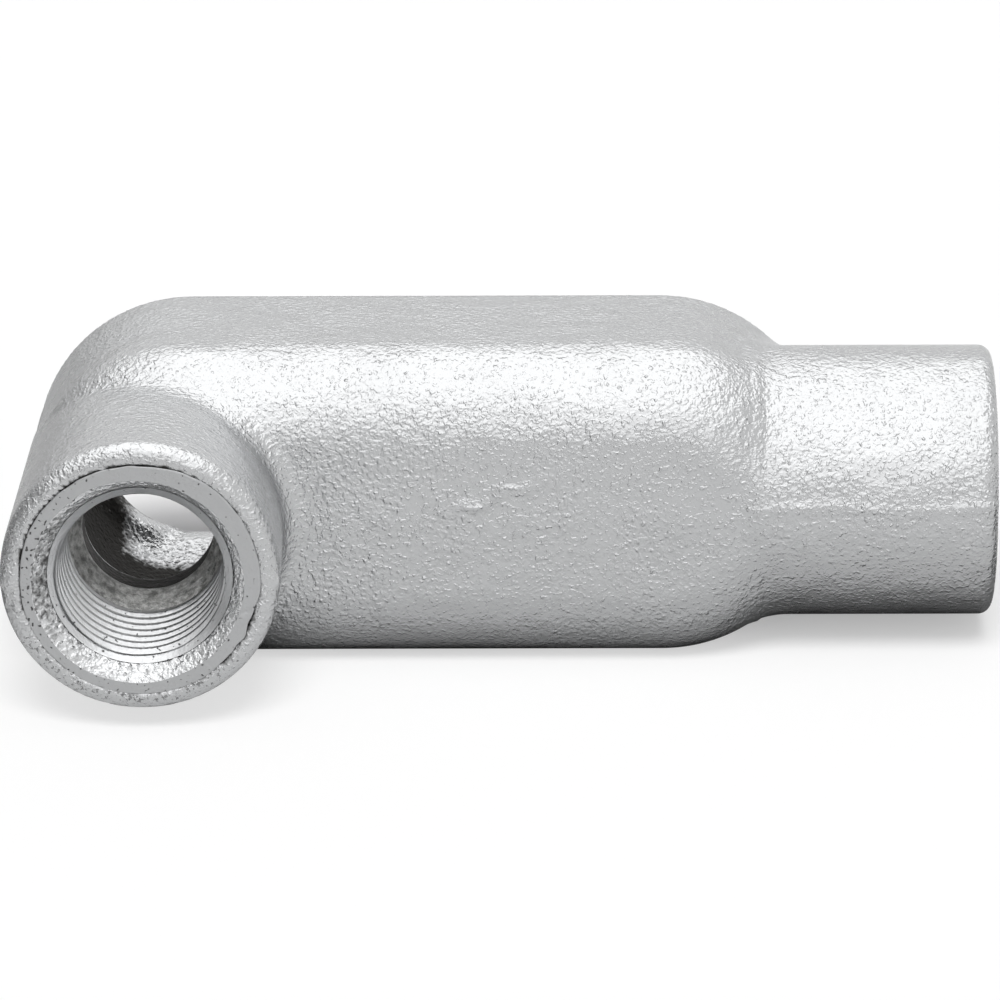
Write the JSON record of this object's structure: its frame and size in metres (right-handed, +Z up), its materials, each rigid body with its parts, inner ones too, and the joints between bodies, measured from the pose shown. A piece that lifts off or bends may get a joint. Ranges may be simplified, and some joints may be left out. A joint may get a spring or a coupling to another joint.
{
  "type": "conduit body",
  "caption": "Cast elbow conduit body with a threaded hub at the back, a threaded hub at the end and a long slot-ended cover opening onto its wiring space.",
  "frame": {"origin": "on the bench, under the middle of the part's bounding box as it lies on its long side wall", "axes": "+X along the body towards the end hub, +Y out of the cover opening and away from the back hub, +Z up, square to both hub axes"},
  "size_m": [0.1108, 0.0496, 0.0364],
  "materials": {
    "cast_iron": "malleable iron, zinc plated and aluminium lacquered, bright silver with an orange-peel cast grain"
  },
  "bodies": {
    "root": {"casting": "cast_iron"}
  },
  "joints": []
}
